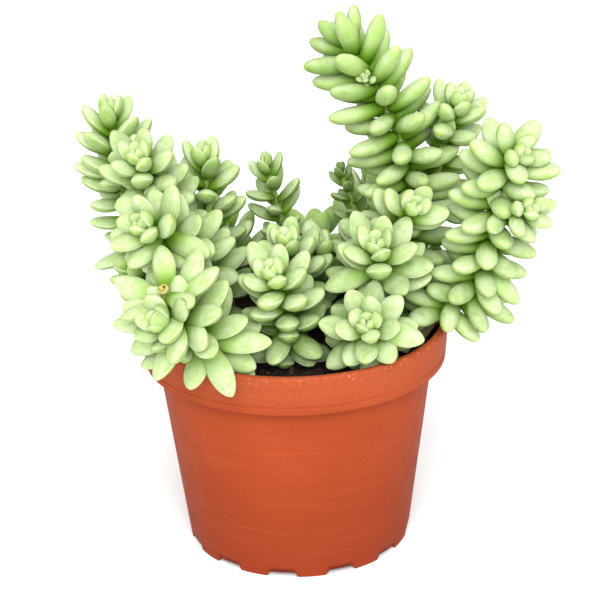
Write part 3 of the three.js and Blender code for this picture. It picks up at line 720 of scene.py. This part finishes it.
def scar_material():
    n = Nodes("dry_scar")
    inward = n.value("along")
    colour = n.mix(n.span(inward, 0.2, 0.6), SCAR_RIM, SCAR_DRY)
    flecks = n.span(n.noise(700.0, 4.0, 0.6), 0.5, 0.62)
    colour = n.mix(n.math("MULTIPLY", flecks, n.span(inward, 0.45, 0.8)), colour, SCAR_PIT)
    n.set(Base_Color=colour, Roughness=n.span(flecks, 0.0, 1.0, 0.6, 0.9), Specular_IOR_Level=0.2)
    n.bump((n.noise(1400.0, 4.0), 0.0002), (flecks, -0.0002))
    return n.material


POT_COLOUR = rgb(149, 62, 31)
POT_WORN_AND_LIT = rgb(172, 88, 56)
POT_DARK_AND_SHADE = rgb(125, 48, 24)
POT_DUST = rgb(208, 150, 120)
BODY_SHADE_SPAN = (0.064, 0.0)
COLLAR_LIGHT_SPAN = (0.066, 0.076)
LIP_SPAN = (0.0775, 0.0815)


def pot_material():
    n = Nodes("terracotta_plastic")
    height = n.height()
    # Painted shade: the body grows darker towards the foot, where less light reaches it.
    colour = n.mix(n.span(height, *BODY_SHADE_SPAN, 0.0, 0.9), POT_COLOUR, POT_DARK_AND_SHADE)
    colour = n.mix(n.span(n.noise(24.0, 4.0, 0.6), 0.3, 0.7, 0.0, 0.4), colour, POT_DARK_AND_SHADE)
    # Pale streaks left by the plastic's flow, and painted light: the collar at the top is mixed towards the paler
    # colour, as light falls on it.
    flow_and_light = n.span(n.noise(40.0, 5.0, 0.65, n.stretched(0.5, 0.5, 9.0)), 0.45, 0.85, 0.0, 0.2)
    flow_and_light = n.math("ADD", flow_and_light, n.span(height, *COLLAR_LIGHT_SPAN, 0.0, 0.3))
    colour = n.mix(flow_and_light, colour, POT_WORN_AND_LIT)
    colour = n.mix(n.span(n.noise(900.0, 3.0, 0.6), 0.56, 0.72, 0.0, 0.55), colour, POT_DARK_AND_SHADE)
    specks = n.span(n.cells(210.0), 0.045, 0.02, 0.0, 0.5)
    flecks = n.math("MULTIPLY", n.span(n.noise(1100.0, 2.0), 0.6, 0.68), n.span(height, *LIP_SPAN, 0.0, 0.35))
    colour = n.mix(n.math("MAXIMUM", specks, flecks), colour, POT_DUST)
    lines = n.add("ShaderNodeTexWave", {"Vector": n.place, "Scale": 240.0, "Distortion": 0.6, "Detail": 1.0},
                  bands_direction="Z").outputs["Fac"]
    n.set(Base_Color=colour, Roughness=n.span(n.noise(140.0, 4.0), 0.3, 0.7, 0.5, 0.62),
          Specular_IOR_Level=0.05)
    n.bump((lines, 0.000012), (n.noise(60.0, 3.0), 0.00025), (n.noise(1400.0, 2.0), 0.00001),
           (flow_and_light, 0.00004))
    return n.material


SOIL_DARK = rgb(22, 18, 14)
SOIL_BROWN = rgb(54, 40, 28)
SOIL_FIBRE = rgb(96, 74, 52)


def soil_material():
    n = Nodes("potting_mix")
    crumb = n.value("crumb")
    colour = n.mix(n.span(n.noise(300.0, 5.0, 0.7), 0.35, 0.7), SOIL_DARK, SOIL_BROWN)
    colour = n.mix(n.span(crumb, 0.72, 1.0, 0.0, 0.7), colour, SOIL_FIBRE)
    colour = n.mix(n.span(n.noise(1100.0, 3.0), 0.66, 0.74, 0.0, 0.5), colour, SOIL_FIBRE)
    n.set(Base_Color=colour, Roughness=n.span(n.noise(500.0), 0.3, 0.7, 0.75, 1.0), Specular_IOR_Level=0.25)
    n.bump((n.noise(900.0, 5.0, 0.7), 0.0005), (n.cells(1300.0), 0.0002))
    return n.material


def floor_material():
    n = Nodes("pale_floor")
    colour = n.mix(n.noise(3.0), (0.87, 0.87, 0.87, 1.0), (0.89, 0.89, 0.89, 1.0))
    n.set(Base_Color=colour, Roughness=0.9, Specular_IOR_Level=0.1)
    return n.material


# ---- Pot

def rounded(corners):
    """An outline with each corner, given as radius, height and how far it is rounded, turned into an arc."""
    points = []
    for k, (x, z, radius) in enumerate(corners):
        here = Vector((x, z))
        if radius == 0:
            points.append(here)
            continue
        before = Vector(corners[k - 1][:2]) - here
        after = Vector(corners[(k + 1) % len(corners)][:2]) - here
        half = before.angle(after) / 2
        cut = radius / math.tan(half)
        start = here + before.normalized() * cut
        end = here + after.normalized() * cut
        centre = here + (before.normalized() + after.normalized()).normalized() * radius / math.sin(half)
        turn = (start - centre).angle_signed(end - centre)
        for i in range(CORNER_STEPS + 1):
            arm = start - centre
            arm.rotate(Matrix.Rotation(-turn * i / CORNER_STEPS, 2))
            points.append(centre + arm)
    return points


def between(points, longest):
    """The same outline with no step longer than this."""
    fine = []
    for a, b in zip(points, points[1:]):
        count = max(1, math.ceil((b - a).length / longest))
        fine += [a.lerp(b, i / count) for i in range(count)]
    return [*fine, points[-1]]


def body_radius(z):
    return FOOT_RADIUS + (BODY_RADIUS - FOOT_RADIUS) * z / (RIM_TOP - COLLAR_HEIGHT)


def notch_lift(angle):
    """How far the foot's edge is raised, 0 to 1, at an angle round the pot."""
    pitch = 2 * math.pi / FEET
    off = abs((angle - FIRST_NOTCH + math.pi / 2 + pitch / 2) % pitch - pitch / 2) * FOOT_RADIUS
    return min(max((NOTCH_WIDTH / 2 - off) / ((NOTCH_WIDTH - NOTCH_TOP_WIDTH) / 2), 0), 1)


def collar_groove():
    """The fine moulded line round the collar, as corners of the pot's outline."""
    flare = (RIM_RADIUS - COLLAR_RADIUS) / COLLAR_HEIGHT
    return [(COLLAR_RADIUS + flare * lift - depth, RIM_TOP - COLLAR_HEIGHT + lift, 0.1)
            for lift, depth in ((GROOVE_LIFT, 0), (GROOVE_LIFT + 0.3, GROOVE_DEPTH),
                                (GROOVE_LIFT + 0.7, GROOVE_DEPTH), (GROOVE_LIFT + 1, 0))]


def make_pot(material):
    ledge = RIM_TOP - COLLAR_HEIGHT
    outline_points = between(rounded([
        (HUB_RADIUS, FLOOR_UNDER, 0), (body_radius(FLOOR_UNDER) - WALL, FLOOR_UNDER, 0.5),
        (FOOT_RADIUS - WALL, 0, 0.3), (FOOT_RADIUS, 0, 0.35), (BODY_RADIUS, ledge, 0.6),
        (COLLAR_RADIUS, ledge, 0.6), *collar_groove(),
        (RIM_RADIUS, RIM_TOP, 1.1), (RIM_INNER_RADIUS, RIM_TOP, 1.1),
        (COLLAR_INNER_RADIUS, ledge + WALL, 0.8), (BODY_RADIUS - WALL, ledge + WALL, 0.8),
        (body_radius(FLOOR_TOP) - WALL, FLOOR_TOP, 1.0), (HUB_RADIUS, FLOOR_TOP, 0),
    ]), POT_STEP)
    shape = Shape()
    angles = 2 * np.pi * np.arange(POT_SEGMENTS) / POT_SEGMENTS
    lift = np.array([notch_lift(a) for a in angles])
    rings = []
    for radius, z in outline_points:
        fall = max(0.0, 1 - z / NOTCH_HEIGHT) if radius > FOOT_RADIUS - 2 * WALL else 0.0
        wobble = np.array([POT_UNEVEN * noise.noise(Vector((1.6 * math.cos(a), 1.6 * math.sin(a), 0.02 * z)))
                           for a in angles])
        r = radius + wobble * min(1, radius / FOOT_RADIUS)
        rings.append(np.stack([r * np.cos(angles), r * np.sin(angles), z + lift * fall * (NOTCH_HEIGHT - z)], 1))
    points = np.vstack([[(0, 0, FLOOR_UNDER)], *rings, [(0, 0, FLOOR_TOP)]])
    faces = [tuple(reversed(face)) for face in loft_faces(len(rings), POT_SEGMENTS)]
    shape.add(points, faces)
    pot = shape.object("pot_finish", [material])
    holes = Shape()
    for k in range(DRAIN_HOLES):
        turn = 2 * math.pi * k / DRAIN_HOLES
        middle = np.array([DRAIN_CIRCLE * math.cos(turn), DRAIN_CIRCLE * math.sin(turn)])
        rim = np.stack([np.cos(DRAIN_ROUND), np.sin(DRAIN_ROUND)], 1) * DRAIN_RADIUS + middle
        ends = [np.column_stack([rim, np.full(len(rim), z)]) for z in (FLOOR_UNDER - 1, FLOOR_TOP + 1)]
        points = np.vstack([[(*middle, FLOOR_UNDER - 1)], *ends, [(*middle, FLOOR_TOP + 1)]])
        holes.add(points, loft_faces(2, len(rim)))
    cutter = holes.object("drain_holes", [material])
    cut = pot.modifiers.new("drain", "BOOLEAN")
    cut.operation = "DIFFERENCE"
    cut.object = cutter
    view = bpy.context.evaluated_depsgraph_get()
    plain = pot.data
    pot.data = bpy.data.meshes.new_from_object(pot.evaluated_get(view))
    pot.modifiers.remove(cut)
    bpy.data.meshes.remove(plain)
    bpy.data.objects.remove(cutter)
    return pot


# ---- Soil

SOIL_RINGS = 46
SOIL_SEGMENTS = 180
SOIL_RELIEF = 1.1
SOIL_SUNK = 0.5
SOIL_LUMPS = 0.16
CRUMBS = 1500
CRUMB_SIDES = 7
CRUMB_ROWS = 4


def soil_height(x, y):
    rough = noise.fractal(Vector((SOIL_LUMPS * x, SOIL_LUMPS * y, 3.0)), 1.0, 2.1, 4)
    return SOIL_TOP - SOIL_SUNK + SOIL_RELIEF * rough


def add_soil_body(shape):
    ledge = RIM_TOP - COLLAR_HEIGHT + WALL
    edge = COLLAR_INNER_RADIUS - SOIL_GAP
    angles = 2 * np.pi * np.arange(SOIL_SEGMENTS) / SOIL_SEGMENTS
    below = [(body_radius(FLOOR_TOP) - WALL - SOIL_GAP, FLOOR_TOP + SOIL_GAP),
             (BODY_RADIUS - WALL - SOIL_GAP, ledge + SOIL_GAP), (edge, ledge + SOIL_GAP)]
    rings = [np.stack([r * np.cos(angles), r * np.sin(angles), np.full(SOIL_SEGMENTS, z)], 1) for r, z in below]
    for k in range(SOIL_RINGS):
        r = edge * (1 - k / SOIL_RINGS)
        x, y = r * np.cos(angles), r * np.sin(angles)
        rings.append(np.stack([x, y, [soil_height(a, b) for a, b in zip(x, y)]], 1))
    points = np.vstack([[(0, 0, FLOOR_TOP + SOIL_GAP)], *rings, [(0, 0, soil_height(0, 0))]])
    shape.add(points, loft_faces(len(rings), SOIL_SEGMENTS), crumb=0.3)


def add_crumb(shape, draws):
    """A lump or chip of the potting mix that lies on the soil."""
    reach = (COLLAR_INNER_RADIUS - 3) * math.sqrt(0.5 + draws.spread(0.5))
    angle = draws.spread(math.pi)
    x, y = reach * math.cos(angle), reach * math.sin(angle)
    half = 0.55 + draws.spread(0.2) + 1.1 * max(draws.spread(1), 0) ** 3
    long, flat = 1.25 + draws.spread(0.5), 0.6 + draws.spread(0.25)
    turned = Matrix.Rotation(draws.spread(math.pi), 3, "Z") @ Matrix.Rotation(draws.spread(0.5), 3, "X")
    points = [Vector((0, 0, -flat))]
    for row in range(CRUMB_ROWS):
        low = math.pi * (row + 1) / (CRUMB_ROWS + 1)
        for side in range(CRUMB_SIDES):
            turn = 2 * math.pi * (side + 0.5 * (row % 2)) / CRUMB_SIDES
            bulge = 1 + draws.spread(0.22)
            points.append(Vector((long * bulge * math.sin(low) * math.cos(turn),
                                  bulge * math.sin(low) * math.sin(turn), -flat * math.cos(low))))
    points.append(Vector((0, 0, flat)))
    middle = Vector((x, y, soil_height(x, y) + 0.35 * half * flat))
    placed = np.array([middle + half * (turned @ point) for point in points])
    shape.add(placed, loft_faces(CRUMB_ROWS, CRUMB_SIDES), crumb=0.5 + draws.spread(0.5))


def make_soil(material):
    shape = Shape("crumb")
    add_soil_body(shape)
    draws = Draws(41)
    for _ in range(CRUMBS):
        add_crumb(shape, draws)
    return shape.object("soil_finish", [material])


# ---- Studio

FLOOR_HALF = 3000
LIGHT_FROM = (0.05, -0.8, 0.55)
SUN_FROM = (0.0, -0.95, 0.65)
SUN_ENERGY = 3.2
SUN_SPREAD = math.radians(35)
SURROUND_LOW = 0.35
SURROUND_HIGH = 1.75
DIMMEST_FACING = -0.35


def make_floor(material):
    shape = Shape()
    corners = np.array([(-1, -1, 0), (1, -1, 0), (1, 1, 0), (-1, 1, 0)], float)
    shape.add(FLOOR_HALF * corners, [(0, 1, 2, 3)])
    floor = shape.object("floor", [material])


def make_studio():
    """A bright surround, brightest above and in front, with a soft sun from there."""
    world = bpy.data.worlds.new("studio")
    world.use_nodes = True
    tree = world.node_tree
    look = tree.nodes.new("ShaderNodeTexCoord")
    facing = tree.nodes.new("ShaderNodeVectorMath")
    facing.operation = "DOT_PRODUCT"
    facing.inputs[1].default_value = Vector(LIGHT_FROM).normalized()
    tree.links.new(look.outputs["Generated"], facing.inputs[0])
    glow = tree.nodes.new("ShaderNodeMapRange")
    glow.interpolation_type = "SMOOTHSTEP"
    spans = {"From Min": DIMMEST_FACING, "From Max": 1.0, "To Min": SURROUND_LOW, "To Max": SURROUND_HIGH}
    for name, value in spans.items():
        glow.inputs[name].default_value = value
    tree.links.new(facing.outputs["Value"], glow.inputs["Value"])
    tree.links.new(glow.outputs["Result"], tree.nodes["Background"].inputs["Strength"])
    tree.nodes["Background"].inputs["Color"].default_value = (1.0, 1.0, 1.0, 1.0)
    bpy.context.scene.world = world
    bpy.context.scene.view_settings.view_transform = "Standard"
    data = bpy.data.lights.new("key_light", "SUN")
    data.energy = SUN_ENERGY
    data.angle = SUN_SPREAD
    sun = bpy.data.objects.new("key_light", data)
    sun.rotation_euler = Vector(SUN_FROM).to_track_quat("Z", "Y").to_euler()
    bpy.context.scene.collection.objects.link(sun)


# ---- Everything

def main():
    make_camera()
    make_studio()
    make_floor(floor_material())
    skins = [leaf_material(), stem_material(), scar_material()]

    pot = make_pot(pot_material())
    soil = make_soil(soil_material())
    for piece, node, slot in ((pot, "pot", "pot_plastic"), (soil, "soil", "potting_mix")):
        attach(piece, "root")
        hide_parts(node)

    stems = grow()
    draws = Draws(97)
    for node in dict.fromkeys(stem["node"] for stem in stems):
        shape = Shape("along", "margin", "face", "age", "deep", "seed")
        for stem in (s for s in stems if s["node"] == node):
            add_stem(shape, stem, draws)
            if stem["cut"]:
                add_scar(shape, stem, draws)
            for leaf in stem["leaves"]:
                add_leaf(shape, leaf, draws)
        piece = shape.object(node + "_finish", skins)
        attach(piece, "root")
        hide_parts(node)


main()
